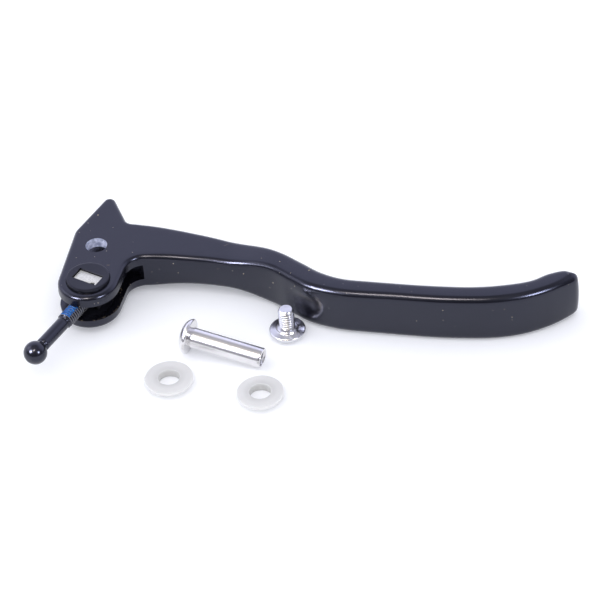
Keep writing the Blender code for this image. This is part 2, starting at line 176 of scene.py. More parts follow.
# The lever blade is forged from one bar of aluminium, tapered to a waist behind the head, slotted and
# bored at the head, and coated satin black all over except in the pivot bore, which is reamed bare.
MM = 0.001
BARREL_FROM_PIVOT = Vector((-1.05, -12.6))
BARREL = Vector(next(j["pos_m"] for j in frame["joints"] if j["name"] == "barrel_swivel"))
MIDDLE = BARREL.z
STEP = 0.45                    # spacing of the points along the outline, in millimetres
EAR_RADIUS = 7.55
SLOT_GAP = 4.4
SLOT_RADIUS = 40.0
SLOT_CENTRE = (-19.5, -30.3)
PIVOT_BORE = 5.3
SEAT_RADIUS = 5.42             # seat of the plastic bush, with a hair of clearance round it
HEIGHTS = [
    (-20.0, 9.8), (12.0, 9.8), (24.5, 8.7), (31.5, 8.7), (44.0, 12.1), (61.0, 12.6), (76.0, 13.0),
    (98.0, 13.0), (117.5, 12.5),
]
NEAR_EDGE = [
    (11.95, -5.05), (18.5, -5.2), (25.5, -6.0), (31.6, -7.3), (37.8, -9.2), (43.0, -11.8),
    (47.1, -15.2), (51.2, -18.5), (55.3, -20.6), (61.4, -22.5), (71.4, -24.1), (83.4, -25.9),
    (93.3, -26.6), (99.2, -26.3), (104.6, -25.2), (109.5, -23.25), (113.2, -21.2), (115.4, -19.75),
    (116.5, -18.8), (117.0, -17.7), (116.95, -16.6), (116.3, -15.65), (115.1, -15.05), (113.2, -14.85),
    (109.3, -16.2), (104.9, -18.6), (98.0, -19.9), (90.1, -20.1), (78.2, -18.8), (67.2, -16.9),
    (60.6, -15.5),
    (55.5, -12.9), (50.8, -9.0), (45.6, -4.9), (38.4, -1.1), (30.1, 2.8), (21.9, 5.8), (14.8, 7.5),
    (9.3, 8.4),
]
LEFT_SHOULDER = (-5.87, 6.17, 5.0)
NOSE_TIP = (2.16, 20.93, 1.7)
NOSE_FOOT = (7.0, 8.65, 2.2)


def at(x, y, z=0.0):
    """Scene metres from millimetres measured from the pivot axis, with z above the middle plane."""
    return Vector((BARREL.x + (x - BARREL_FROM_PIVOT.x) * MM, BARREL.y + (y - BARREL_FROM_PIVOT.y) * MM,
                   MIDDLE + z * MM))


def ease(value, low, high):
    """Smooth step from 0 at low to 1 at high; high may be the smaller."""
    t = min(1.0, max(0.0, (value - low) / (high - low)))
    return t * t * (3.0 - 2.0 * t)


def arc(centre, radius, start, end):
    """Points along an arc, both ends included, angles in degrees."""
    count = max(4, int(abs(math.radians(end - start)) * max(radius, 2.0) / STEP) + 1)
    angles = [math.radians(start + (end - start) * i / count) for i in range(count + 1)]
    return [(centre[0] + radius * math.cos(a), centre[1] + radius * math.sin(a)) for a in angles]


def rounded(before, corner, after):
    """The arc that rounds a corner given as x, y and radius."""
    place = Vector(corner[:2])
    back = (Vector(before) - place).normalized()
    ahead = (Vector(after) - place).normalized()
    half = back.angle(ahead) / 2.0
    centre = place + (back + ahead).normalized() * (corner[2] / math.sin(half))
    first = place + back * (corner[2] / math.tan(half)) - centre
    turn = math.degrees(math.pi - 2.0 * half) * (-1.0 if back.cross(ahead) > 0.0 else 1.0)
    start = math.degrees(math.atan2(first.y, first.x))
    return arc(centre, corner[2], start, start + turn)


def smooth_curve(points):
    """A curve through the points, sampled about every STEP."""
    row = [Vector(p) for p in points]
    row = [row[0] * 2.0 - row[1]] + row + [row[-1] * 2.0 - row[-2]]
    result = []
    for i in range(1, len(row) - 2):
        a, b, c, d = row[i - 1:i + 3]
        count = max(2, round((c - b).length / STEP))
        for step in range(count):
            t = step / count
            p = 0.5 * (2.0 * b + (c - a) * t + (2.0 * a - 5.0 * b + 4.0 * c - d) * t ** 2
                       + (3.0 * b - a - 3.0 * c + d) * t ** 3)
            result.append((p.x, p.y))
    return result + [tuple(points[-1])]


def half_height(x):
    """Half the blade's height at a distance along it."""
    for (x0, h0), (x1, h1) in zip(HEIGHTS, HEIGHTS[1:]):
        if x <= x1:
            return (h0 + (h1 - h0) * ease(x, x0, x1)) / 2.0
    return HEIGHTS[-1][1] / 2.0


def edge_radius(x, facing):
    """Radius of the forged edges, fuller along the fingers and on the far side, and fullest at the tip."""
    radius = 1.1 + 0.25 * ease(x, 10.0, 20.0) + 0.35 * ease(x, 30.0, 60.0) + 0.5 * ease(x, 112.0, 116.5)
    return radius + 0.5 * ease(facing, 0.3, 0.8) * ease(x, 6.0, 14.0)


def wall_crown(x):
    """How far the wall leans in from the parting line to the edges: forging draft."""
    return 0.12 + 0.1 * ease(x, 108.0, 115.0)


POCKET_DEPTH = 0.95


def neck_relief(x, t):
    """Depth of the small forged pocket in the near wall, at the end of the neck."""
    along = ease(x, 46.5, 51.3) * ease(x, 56.2, 51.6)
    return POCKET_DEPTH * along * ease(t, 0.85, 0.0) * ease(t, -1.0, -0.2)


CROTCH_CENTRE = (11.95, -9.55)
CROTCH_RADIUS = 4.5


def blade_outline():
    """The blade seen along its pivot, anticlockwise from the ear."""
    ear = arc(BARREL_FROM_PIVOT, EAR_RADIUS, 171.8, 346.7)
    crotch = arc(CROTCH_CENTRE, CROTCH_RADIUS, 166.7, 90.0)
    points = ear + crotch[:-1] + smooth_curve(NEAR_EDGE)
    points += rounded(NEAR_EDGE[-1], NOSE_FOOT, NOSE_TIP[:2])
    points += rounded(NOSE_FOOT[:2], NOSE_TIP, LEFT_SHOULDER[:2])
    points += rounded(NOSE_TIP[:2], LEFT_SHOULDER, ear[0])
    points = [Vector(p) for p in points]
    outline = []
    for here, ahead in zip(points, points[1:] + points[:1]):
        count = max(1, round((ahead - here).length / STEP))
        outline += [here.lerp(ahead, i / count) for i in range(count)]
    return outline


def outward_normals(points):
    """Unit normals of an anticlockwise outline."""
    count = len(points)
    normals = []
    for i in range(count):
        along = points[(i + 1) % count] - points[i - 1]
        normals.append(Vector((along.y, -along.x)).normalized())
    return normals


def blade_mesh():
    """Crowned walls with the scoop in them, closed by caps whose edges are rounded by true distance."""
    outline = blade_outline()
    normals = outward_normals(outline)
    finder = kdtree.KDTree(len(outline))
    for i, p in enumerate(outline):
        finder.insert((p.x, p.y, 0.0), i)
    finder.balance()
    flat = []
    depth = []
    for angle in (0.0, 12.0, 24.0, 36.0, 48.0, 60.0, 70.0, 80.0, 90.0):
        for p, n in zip(outline, normals):
            radius = edge_radius(p.x, n.y)
            inset = wall_crown(p.x) + radius * (1.0 - math.cos(math.radians(angle)))
            q = p - n * inset
            if angle == 0.0 or finder.find((q.x, q.y, 0.0))[2] > 0.97 * inset:
                flat.append(q)
                depth.append(radius * (1.0 - math.sin(math.radians(angle))))
    grid = 1.2
    low = Vector((min(p.x for p in outline), min(p.y for p in outline)))
    high = Vector((max(p.x for p in outline), max(p.y for p in outline)))
    for row in range(int((high.y - low.y) / grid) + 1):
        for column in range(int((high.x - low.x) / grid) + 1):
            q = low + Vector((column, row)) * grid
            index, distance = finder.find((q.x, q.y, 0.0))[1:]
            inside = (q - outline[index]).dot(normals[index]) < 0.0
            if inside and distance > wall_crown(q.x) + edge_radius(q.x, 1.0) + 0.5:
                flat.append(q)
                depth.append(0.0)
    rim = len(outline)
    cap = geometry.delaunay_2d_cdt(flat, [], [list(range(rim))], 1, 1e-5)
    bm = bmesh.new()
    sheets = []
    for side in (1.0, -1.0):
        sheet = []
        for p, sources in zip(cap[0], cap[3]):
            sheet.append(bm.verts.new(at(p.x, p.y, side * (half_height(p.x) - depth[sources[0]]))))
        sheets.append(sheet)
    for triangle in cap[2]:
        bm.faces.new([sheets[0][i] for i in triangle])
        bm.faces.new([sheets[1][i] for i in reversed(triangle)])
    number = {sources[0]: i for i, sources in enumerate(cap[3])}
    rows = [[sheets[0][number[i]] for i in range(rim)]]
    levels = 22
    for level in range(1, levels):
        t = 1.0 - 2.0 * level / levels
        row = []
        for p, n in zip(outline, normals):
            near_side = ease(-n.y, 0.2, 0.6) if p.y < 0.0 else 0.0
            inset = wall_crown(p.x) * t * t + neck_relief(p.x, t) * near_side
            q = p - n * inset
            row.append(bm.verts.new(at(q.x, q.y, t * (half_height(p.x) - edge_radius(p.x, n.y)))))
        rows.append(row)
    rows.append([sheets[1][number[i]] for i in range(rim)])
    for upper, lower in zip(rows, rows[1:]):
        for i in range(rim):
            j = (i + 1) % rim
            bm.faces.new((upper[i], lower[i], lower[j], upper[j]))
    return finish_mesh("satin_black_blade", bm)


def finish_mesh(name, bm):
    """Weld, turn the faces out and write the bmesh to a mesh."""
    bmesh.ops.remove_doubles(bm, verts=bm.verts, dist=1e-7)
    bmesh.ops.recalc_face_normals(bm, faces=bm.faces)
    mesh = bpy.data.meshes.new(name)
    bm.to_mesh(mesh)
    bm.free()
    return mesh


def new_piece(name, mesh, material, matrix=None):
    """Put a mesh in the scene with its material, its points already turned the way it lies."""
    piece = bpy.data.objects.new(name, mesh)
    mesh.materials.append(material)
    bpy.context.scene.collection.objects.link(piece)
    if matrix is not None:
        mesh.transform(matrix.to_3x3().to_4x4())
        piece.location = matrix.to_translation()
    return piece


def lathe(name, profile, sides, radius_at=None):
    """Turn (radius, z) points, in millimetres from top to bottom, round the Z axis."""
    bm = bmesh.new()
    rows = []
    for radius, z in profile:
        if radius < 1e-6:
            rows.append([bm.verts.new((0.0, 0.0, z * MM))])
            continue
        row = []
        for i in range(sides):
            angle = 2.0 * math.pi * i / sides
            r = (radius_at(radius, z, angle) if radius_at else radius) * MM
            row.append(bm.verts.new((r * math.cos(angle), r * math.sin(angle), z * MM)))
        rows.append(row)
    closed = rows if len(rows[0]) == 1 else rows + [rows[0]]
    for upper, lower in zip(closed, closed[1:]):
        for i in range(sides):
            j = (i + 1) % sides
            if len(upper) == 1:
                bm.faces.new((upper[0], lower[i], lower[j]))
            elif len(lower) == 1:
                bm.faces.new((upper[i], lower[0], upper[j]))
            else:
                bm.faces.new((upper[i], lower[i], lower[j], upper[j]))
    return finish_mesh(name, bm)


def prism(name, points, low, high):
    """An upright solid on a flat outline, in millimetres round its own origin."""
    bm = bmesh.new()
    base = bm.faces.new([bm.verts.new((x * MM, y * MM, low * MM)) for x, y in points])
    top = bmesh.ops.extrude_face_region(bm, geom=[base])
    moved = [item for item in top["geom"] if isinstance(item, bmesh.types.BMVert)]
    bmesh.ops.translate(bm, verts=moved, vec=(0.0, 0.0, (high - low) * MM))
    return finish_mesh(name, bm)


def hexagon(across_flats):
    """Corners of a hexagon key's section."""
    radius = across_flats / math.sqrt(3.0)
    return [(radius * math.cos(math.pi * i / 3.0), radius * math.sin(math.pi * i / 3.0)) for i in range(6)]


def machine(piece, cuts):
    """Cut the tools' shapes out of a piece; cut faces take the tool's material."""
    tools = []
    for mesh, matrix, material in cuts:
        tool = new_piece(mesh.name, mesh, material, matrix)
        tools.append(tool)
        modifier = piece.modifiers.new(mesh.name, "BOOLEAN")
        modifier.operation = "DIFFERENCE"
        modifier.solver = "EXACT"
        modifier.material_mode = "TRANSFER"
        modifier.object = tool
    bpy.context.view_layer.update()
    done = bpy.data.meshes.new_from_object(piece.evaluated_get(bpy.context.evaluated_depsgraph_get()))
    piece.modifiers.clear()
    piece.data = done
    for tool in tools:
        bpy.data.objects.remove(tool, do_unlink=True)


def shade(piece, degrees=38.0):
    """Smooth shading that keeps real corners crisp."""
    piece.data.shade_smooth()
    piece.data.set_sharp_from_angle(angle=math.radians(degrees))


def new_group(name, inputs, outputs):
    """An empty shader node group with float or colour sockets."""
    group = bpy.data.node_groups.new(name, "ShaderNodeTree")
    for label, kind, value in inputs:
        socket = group.interface.new_socket(label, in_out="INPUT", socket_type=kind)
        if value is not None:
            socket.default_value = value
    for label, kind in outputs:
        group.interface.new_socket(label, in_out="OUTPUT", socket_type=kind)
    return group, group.nodes.new("NodeGroupInput").outputs, group.nodes.new("NodeGroupOutput")


def build_dust():
    """Sparse specks of dust: one small dot in a few cells of a 3-D pattern."""
    group, given, result = new_group(
        "dust", [("Vector", "NodeSocketVector", None), ("Scale", "NodeSocketFloat", 1100.0),
                 ("Share", "NodeSocketFloat", 0.05)],
        [("Mask", "NodeSocketFloat"), ("Tone", "NodeSocketFloat")])
    cells = add_node(group, "ShaderNodeTexVoronoi", {"Vector": given["Vector"], "Scale": given["Scale"]})
    traits = add_node(group, "ShaderNodeSeparateColor", {"Color": cells.outputs["Color"]})
    chosen = add_node(group, "ShaderNodeMath", {0: traits.outputs["Red"], 1: given["Share"]},
                      operation="LESS_THAN").outputs[0]
    size = ramp(group, traits.outputs["Green"], 0.0, 1.0, 0.05, 0.15)
    inside = add_node(group, "ShaderNodeMath", {0: cells.outputs["Distance"], 1: size},
                      operation="LESS_THAN").outputs[0]
    mask = add_node(group, "ShaderNodeMath", {0: chosen, 1: inside}, operation="MULTIPLY").outputs[0]
    group.links.new(mask, result.inputs["Mask"])
    group.links.new(traits.outputs["Blue"], result.inputs["Tone"])
    return group


def build_grain():
    """Fine grain with a slow drift under it, for coats and bare metal alike."""
    group, given, result = new_group(
        "grain", [("Vector", "NodeSocketVector", None), ("Scale", "NodeSocketFloat", 3000.0)],
        [("Fine", "NodeSocketFloat"), ("Slow", "NodeSocketFloat")])
    fine = add_node(group, "ShaderNodeTexNoise", {
        "Vector": given["Vector"], "Scale": given["Scale"], "Detail": 4.0, "Roughness": 0.6})
    slow_scale = add_node(group, "ShaderNodeMath", {0: given["Scale"], 1: 0.03}, operation="MULTIPLY")
    slow = add_node(group, "ShaderNodeTexNoise", {
        "Vector": given["Vector"], "Scale": slow_scale.outputs[0], "Detail": 3.0})
    group.links.new(fine.outputs["Fac"], result.inputs["Fine"])
    group.links.new(slow.outputs["Fac"], result.inputs["Slow"])
    return group


def build_turned():
    """Distance from the axis of a turned piece and height along it."""
    group, given, result = new_group(
        "turned", [("Vector", "NodeSocketVector", None)],
        [("Radius", "NodeSocketFloat"), ("Height", "NodeSocketFloat")])
    flat = add_node(group, "ShaderNodeVectorMath", {0: given["Vector"], 1: (1.0, 1.0, 0.0)},
                    operation="MULTIPLY")
    radius = add_node(group, "ShaderNodeVectorMath", {0: flat.outputs[0]}, operation="LENGTH")
    axes = add_node(group, "ShaderNodeSeparateXYZ", {"Vector": given["Vector"]})
    group.links.new(radius.outputs["Value"], result.inputs["Radius"])
    group.links.new(axes.outputs["Z"], result.inputs["Height"])
    return group


dust = build_dust()
grain = build_grain()
turned = build_turned()


def own_place(tree, matrix=None):
    """Coordinates in a piece's own axes, turned back from the way it lies."""
    place = add_node(tree, "ShaderNodeTexCoord").outputs["Object"]
    if matrix is None:
        return place
    return add_node(tree, "ShaderNodeMapping", {"Vector": place, "Rotation": matrix.to_euler()},
                    vector_type="TEXTURE").outputs["Vector"]


def turned_from(tree, place):
    """Radius and height of a point on a turned piece."""
    return add_node(tree, "ShaderNodeGroup", {"Vector": place}, node_tree=turned).outputs


def product(tree, first, second):
    """Multiply two values."""
    return add_node(tree, "ShaderNodeMath", {0: first, 1: second}, operation="MULTIPLY").outputs[0]


def coated(name, dark, light, roughness, spread, bump, specks, metallic=0.0, matrix=None, overlay=None,
           scale=3000.0):
    """A coat whose tone and gloss drift a little, with fine grain and a few specks of dust."""
    material, tree, shader = new_material(name, dark, roughness, metallic)
    if metallic < 0.5:
        shader.inputs["Specular IOR Level"].default_value = 0.62
        shader.inputs["Specular Tint"].default_value = (0.74, 0.77, 1.0, 1.0)
    place = own_place(tree, matrix)
    grains = add_node(tree, "ShaderNodeGroup", {"Vector": place}, node_tree=grain)
    grains.inputs["Scale"].default_value = scale
    colour = blend_colour(tree, ramp(tree, grains.outputs["Slow"], 0.35, 0.65), (*dark, 1.0), (*light, 1.0))
    # The overlay paints extra marks over the coat; on the blade and the pushrod these include painted
    # highlights.
    if overlay:
        colour = overlay(tree, place, colour)
    if specks > 0.0:
        dots = add_node(tree, "ShaderNodeGroup", node_tree=dust)
        tree.links.new(place, dots.inputs["Vector"])
        dots.inputs["Share"].default_value = specks
        speck = blend_colour(tree, dots.outputs["Tone"], (0.07, 0.07, 0.075, 1.0), (0.5, 0.43, 0.32, 1.0))
        colour = blend_colour(tree, dots.outputs["Mask"], colour, speck)
    tree.links.new(colour, shader.inputs["Base Color"])
    tree.links.new(ramp(tree, grains.outputs["Slow"], 0.3, 0.7, roughness - spread, roughness + spread),
                   shader.inputs["Roughness"])
    relief = add_node(tree, "ShaderNodeBump", {
        "Height": grains.outputs["Fine"], "Strength": 1.0, "Distance": bump * MM})
    tree.links.new(relief.outputs["Normal"], shader.inputs["Normal"])
    return material


MARKS = [
    (-0.5, 11.6, 4.9, 0.17, 0.14, 0.0, (0.55, 0.45, 0.28, 1.0)),
    (3.5, -7.7, 4.9, 0.5, 0.08, -4.0, (0.12, 0.09, 0.05, 1.0)),
    (31.9, -0.8, 4.4, 0.8, 0.13, 32.0, (0.05, 0.04, 0.03, 1.0)),
    (52.6, -13.3, 6.0, 0.28, 0.09, 4.0, (0.6, 0.5, 0.3, 1.0)),
]


def blade_marks_and_lip_highlight(tree, place, colour):
    """Knocks on the blade, and a broken warm line along the lip of the lower ear that is a painted
    highlight.
    """
    for x, y, z, half_long, half_wide, angle, tone in MARKS:
        spot = add_node(tree, "ShaderNodeMapping", {
            "Vector": place, "Location": at(x, y, z), "Rotation": (0.0, 0.0, math.radians(angle)),
            "Scale": (half_long * MM, half_wide * MM, MM)}, vector_type="TEXTURE")
        reach = add_node(tree, "ShaderNodeVectorMath", {0: spot.outputs["Vector"]}, operation="LENGTH")
        colour = blend_colour(tree, ramp(tree, reach.outputs["Value"], 1.1, 0.7), colour, tone)
    # Painted highlight: a thin warm line, broken by noise, along the lip of the lower ear.
    lip = add_node(tree, "ShaderNodeMapping", {
        "Vector": place, "Location": at(*BARREL_FROM_PIVOT, -SLOT_GAP / 2.0)}, vector_type="TEXTURE")
    parts = turned_from(tree, lip.outputs["Vector"])
    off = add_node(tree, "ShaderNodeMath", {0: parts["Height"]}, operation="ABSOLUTE").outputs[0]
    lip_highlight = product(tree, ramp(tree, off, 0.00007, 0.00002), ramp(tree, parts["Radius"], 0.0084, 0.0082))
    lip_highlight = product(tree, lip_highlight, ramp(tree, parts["Radius"], 0.0068, 0.0072))
    broken = add_node(tree, "ShaderNodeTexNoise", {"Vector": place, "Scale": 1800.0, "Detail": 3.0})
    lip_highlight = product(tree, lip_highlight, ramp(tree, broken.outputs["Fac"], 0.54, 0.68))
    return blend_colour(tree, lip_highlight, colour, (0.1, 0.08, 0.055, 1.0))


satin_black = coated("satin_black_coat", (0.003, 0.003, 0.005), (0.005, 0.005, 0.008), 0.24, 0.02, 0.0015,
                     0.1, overlay=blade_marks_and_lip_highlight)
bare_aluminium = coated("bare_aluminium", (0.38, 0.42, 0.55), (0.85, 0.87, 1.0), 0.5, 0.08, 0.02, 0.0, 0.3,
                        scale=40000.0)

blade = new_piece("satin_black_blade", blade_mesh(), satin_black)
slot_tool = lathe("slot", [(0.0, SLOT_GAP / 2.0), (SLOT_RADIUS, SLOT_GAP / 2.0),
                           (SLOT_RADIUS, -SLOT_GAP / 2.0), (0.0, -SLOT_GAP / 2.0)], 400)
head_half = half_height(0.0)
BORE_REACH = 9.0
bore_radius = PIVOT_BORE / 2.0
bore_profile = [(0.0, BORE_REACH), (bore_radius, BORE_REACH), (bore_radius, -BORE_REACH), (0.0, -BORE_REACH)]
bore_tool = lathe("pivot_bore", bore_profile, 96)
seat_tool = lathe("bush_seat", [(0.0, 9.0), (SEAT_RADIUS, 9.0), (SEAT_RADIUS, -9.0), (0.0, -9.0)], 96)
machine(blade, [
    (slot_tool, Matrix.Translation(at(*SLOT_CENTRE)), satin_black),
    (bore_tool, Matrix.Translation(at(0.0, 0.0)), bare_aluminium),
    (seat_tool, Matrix.Translation(at(*BARREL_FROM_PIVOT)), satin_black),
])
shade(blade)
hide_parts("lever_blade")
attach(blade, "lever")

# The two barrel bushes are black moulded plastic discs that turn in the ears and stand a little proud
# of them, each with a window for the flat end of the nut.
BUSH_RADIUS = 5.3
BUSH_PROUD = 0.8
WINDOW = (6.85, 3.7)
ROD_YAW = math.radians(-119.0)
nut_turn = Matrix.Rotation(ROD_YAW + math.pi / 2.0, 4, "Z")
black_plastic = coated("black_moulded_plastic", (0.004, 0.004, 0.006), (0.007, 0.007, 0.01), 0.3, 0.04,
                       0.003, 0.12)
black_plastic.node_tree.nodes["Principled BSDF"].inputs["Specular IOR Level"].default_value = 0.46
bush_top = head_half + BUSH_PROUD
bush_profile = [
    (0.0, bush_top - 0.12), (3.6, bush_top - 0.06), (4.7, bush_top), (BUSH_RADIUS - 0.24, bush_top),
    (BUSH_RADIUS - 0.07, bush_top - 0.07), (BUSH_RADIUS, bush_top - 0.24),
    (BUSH_RADIUS, SLOT_GAP / 2.0 + 0.02),
    (0.0, SLOT_GAP / 2.0 + 0.02),
]
half_long, half_short = WINDOW[0] / 2.0, WINDOW[1] / 2.0
window_corners = [(-half_long, -half_short), (half_long, -half_short), (half_long, half_short),
                  (-half_long, half_short)]
for node, flip in (("upper_barrel_bush", 0.0), ("lower_barrel_bush", math.pi)):
    upright = Matrix.Translation(BARREL) @ Matrix.Rotation(flip, 4, "X")
    bush = new_piece("turning_" + node, lathe("turning_" + node, bush_profile, 96), black_plastic, upright)
    machine(bush, [(prism("window", window_corners, -9.0, 9.0), Matrix.Translation(BARREL) @ nut_turn,
                    black_plastic)])
    shade(bush)
    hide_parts(node)
    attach(bush, "barrel")

# The barrel nut is a flat bar of bare steel, sheared at both ends and tapped across for the pushrod.
# Its ends are mottled, and one long edge is chipped where it was sheared. Its middle is painted near black
# as shade.
NUT_HALF = bush_top - 0.55
nut_x, nut_y = half_long - 0.12, half_short - 0.12
nut_corners = [
    (-nut_x, -nut_y), (1.35, -nut_y), (1.55, -nut_y + 0.75), (2.0, -nut_y + 0.85), (2.25, -nut_y + 1.05),
    (2.6, -nut_y + 0.9), (2.75, -nut_y), (nut_x - 0.1, -nut_y), (nut_x, -nut_y + 0.12), (nut_x, nut_y),
    (-nut_x, nut_y),
]
nut_mesh = prism("sheared_barrel_nut", nut_corners, -NUT_HALF, NUT_HALF)
bare_steel, tree, shader = new_material("mottled_bare_steel", (0.6, 0.6, 0.58), 0.5, 0.55)
place = add_node(tree, "ShaderNodeTexCoord").outputs["Object"]
grains = add_node(tree, "ShaderNodeGroup", node_tree=grain)
tree.links.new(place, grains.inputs["Vector"])
blotch = add_node(tree, "ShaderNodeTexNoise", {"Vector": place, "Scale": 900.0, "Detail": 5.0,
                                               "Roughness": 0.7})
pits = ramp(tree, blotch.outputs["Fac"], 0.62, 0.7)
metal = blend_colour(tree, ramp(tree, grains.outputs["Fine"], 0.3, 0.7), (0.5, 0.5, 0.48, 1.0),
                     (0.78, 0.78, 0.74, 1.0))
metal = blend_colour(tree, pits, metal, (0.12, 0.12, 0.12, 1.0))
height = turned_from(tree, place)["Height"]
depth = add_node(tree, "ShaderNodeMath", {0: height}, operation="ABSOLUTE").outputs[0]
# Painted shade: the nut is painted near black going down into the windows and through the slot between the
# ears; only its ends keep the steel's colour.
painted_slot_shade = ramp(tree, depth, (NUT_HALF - 0.1) * MM, (NUT_HALF - 0.6) * MM)
tree.links.new(blend_colour(tree, painted_slot_shade, metal, (0.02, 0.02, 0.025, 1.0)), shader.inputs["Base Color"])
relief = add_node(tree, "ShaderNodeBump", {"Height": blotch.outputs["Fac"], "Distance": 0.00005})
tree.links.new(relief.outputs["Normal"], shader.inputs["Normal"])
nut = new_piece("sheared_barrel_nut", nut_mesh, bare_steel, Matrix.Translation(BARREL) @ nut_turn)
soften = nut.modifiers.new("soften", "BEVEL")
soften.width = 0.08 * MM
soften.segments = 2
rod_turn = Matrix.Rotation(ROD_YAW, 4, "Z") @ Matrix.Rotation(math.pi / 2.0, 4, "Y")
rod_place = Matrix.Translation(BARREL) @ rod_turn
tap_tool = lathe("tapped_hole", [(0.0, 9.0), (2.05, 9.0), (2.05, -9.0), (0.0, -9.0)], 64)
machine(nut, [(tap_tool, rod_place, bare_steel)])
shade(nut, 30.0)
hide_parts("barrel_nut")
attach(nut, "barrel")

# The pushrod is turned steel, blackened and oiled, with an M4 thread rolled on one end, a hexagon socket
# in its tail and a ground ball on the other end, parted off with a small flat.
THREAD_MAJOR = 1.95
THREAD_MINOR = 1.58
PITCH = 0.7
THREAD_END = 11.6
ROD_TAIL = 6.0
SHANK_RADIUS = 1.65
NECK_RADIUS = 1.4
BALL_DISTANCE = 23.65
BALL_RADIUS = 2.85
FLAT_RADIUS = 0.75


def thread_radius(z, angle, minor, major, start, end):
    """Radius of an M4 thread's flank that runs out over a turn at both ends."""
    phase = (z / PITCH - angle / (2.0 * math.pi)) % 1.0
    wave = min(1.0, max(0.0, (abs(2.0 * phase - 1.0) - 0.1) / 0.75))
    run_out = ease(z, start, start + 0.5 * PITCH) * (1.0 - ease(z, end - PITCH, end))
    return minor + (major - minor) * wave * run_out


def spaced(first, last, step):
    """Evenly spaced values, both ends included."""
    count = max(1, round(abs(last - first) / step))
    return [first + (last - first) * i / count for i in range(count + 1)]


def rod_radius(radius, z, angle):
    """The rod's radius, with the thread cut where the profile stands at its major radius."""
    if abs(radius - THREAD_MAJOR) > 1e-6:
        return radius
    return thread_radius(z, angle, THREAD_MINOR, THREAD_MAJOR, -ROD_TAIL, THREAD_END + 0.2)


flat_angle = math.asin(FLAT_RADIUS / BALL_RADIUS)
neck_angle = math.pi - math.asin(NECK_RADIUS / BALL_RADIUS)
ball = [(0.0, BALL_DISTANCE + BALL_RADIUS * math.cos(flat_angle))]
for i in range(41):
    angle = flat_angle + (neck_angle - flat_angle) * i / 40.0
    ball.append((BALL_RADIUS * math.sin(angle), BALL_DISTANCE + BALL_RADIUS * math.cos(angle)))
neck = ball[-1][1]
rod_profile = ball + [
    (NECK_RADIUS, neck - 0.25), (NECK_RADIUS + 0.1, neck - 0.4), (SHANK_RADIUS, neck - 0.55),
]
rod_profile += [(SHANK_RADIUS, z) for z in spaced(neck - 1.0, THREAD_END + 0.7, 1.0)]
rod_profile += [(THREAD_MINOR + 0.05, THREAD_END + 0.25)]
rod_profile += [(THREAD_MAJOR, z) for z in spaced(THREAD_END + 0.2, 0.45 - ROD_TAIL, PITCH / 11.0)]
rod_profile += [(1.5, -ROD_TAIL), (0.0, -ROD_TAIL)]


def rod_crest_wear_and_highlight(tree, place, colour):
    """The crests of the thread painted lighter: rubbed back towards steel, and a painted highlight where
    they catch the light.
    """
    parts = turned_from(tree, place)
    # Partly painted highlight: the crests are painted lighter, as rubbed steel and as the light they catch.
    crest_wear_and_highlight = product(tree, ramp(tree, parts["Radius"], 0.0018, 0.00192),
                    ramp(tree, parts["Height"], 0.0119, 0.0117))
    return blend_colour(tree, crest_wear_and_highlight, colour, (0.13, 0.13, 0.135, 1.0))


black_oxide = coated("oiled_black_oxide", (0.006, 0.006, 0.009), (0.01, 0.01, 0.014), 0.2, 0.04, 0.003, 0.06,
                     matrix=rod_turn, overlay=rod_crest_wear_and_highlight)
rod = new_piece("ball_end_pushrod", lathe("ball_end_pushrod", rod_profile, 64, rod_radius), black_oxide,
                rod_place)
socket_place = rod_place @ Matrix.Translation((0.0, 0.0, -ROD_TAIL * MM))
machine(rod, [(prism("rod_socket", hexagon(2.0), -2.5, 2.5), socket_place, black_oxide)])
shade(rod, 50.0)
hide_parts("pushrod")
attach(rod, "pushrod")

# The thread lock is blue nylon sprayed on one flank of the thread, thick in the roots, thin on the
# crests and ragged at its edges.
PATCH_START = 4.2
PATCH_END = 11.2
PATCH_CENTRE = math.radians(218.0)
PATCH_WIDTH = math.radians(176.0)
PATCH_STEPS = 56
nylon_mesh = bmesh.new()
patch_rows = []
for z in spaced(PATCH_START, PATCH_END, PITCH / 11.0):
    row = []
    for i in range(PATCH_STEPS + 1):
        share = 2.0 * i / PATCH_STEPS - 1.0
        ragged = 1.0 + 0.16 * noise.noise(Vector((z * 1.7, 3.0 * math.copysign(1.0, share), 0.0)))
        angle = PATCH_CENTRE + share * 0.5 * PATCH_WIDTH * ragged
        metal_radius = thread_radius(z, angle, THREAD_MINOR, THREAD_MAJOR, -ROD_TAIL, THREAD_END + 0.2)
        edge = min(1.0, 5.0 * (1.0 - abs(share))) * ease(z, PATCH_START, PATCH_START + 0.3)
        edge *= 1.0 - ease(z, PATCH_END - 0.5, PATCH_END)
        lump = noise.noise(Vector((z * 3.0, angle * 4.0, 1.0)))
        film = max(metal_radius + 0.006 + 0.02 * lump, THREAD_MINOR + 0.13 + 0.1 * lump)
        r = (metal_radius - 0.05 + (film - metal_radius + 0.05) * edge) * MM
        row.append(nylon_mesh.verts.new((r * math.cos(angle), r * math.sin(angle), z * MM)))
    inner = (THREAD_MINOR - 0.15) * MM
    row += [nylon_mesh.verts.new((inner * math.cos(a), inner * math.sin(a), z * MM))
            for a in (PATCH_CENTRE + 0.5 * PATCH_WIDTH * s for s in (1.0, 0.6, 0.2, -0.2, -0.6, -1.0))]
    patch_rows.append(row)
for lower, upper in zip(patch_rows, patch_rows[1:]):
    for i in range(len(lower)):
        j = (i + 1) % len(lower)
        nylon_mesh.faces.new((lower[i], lower[j], upper[j], upper[i]))
nylon_mesh.faces.new(patch_rows[0])
nylon_mesh.faces.new(patch_rows[-1])
blue_nylon, tree, shader = new_material("blue_locking_nylon", (0.003, 0.12, 0.5), 0.5)
shader.inputs["Specular IOR Level"].default_value = 0.2
place = own_place(tree, rod_turn)
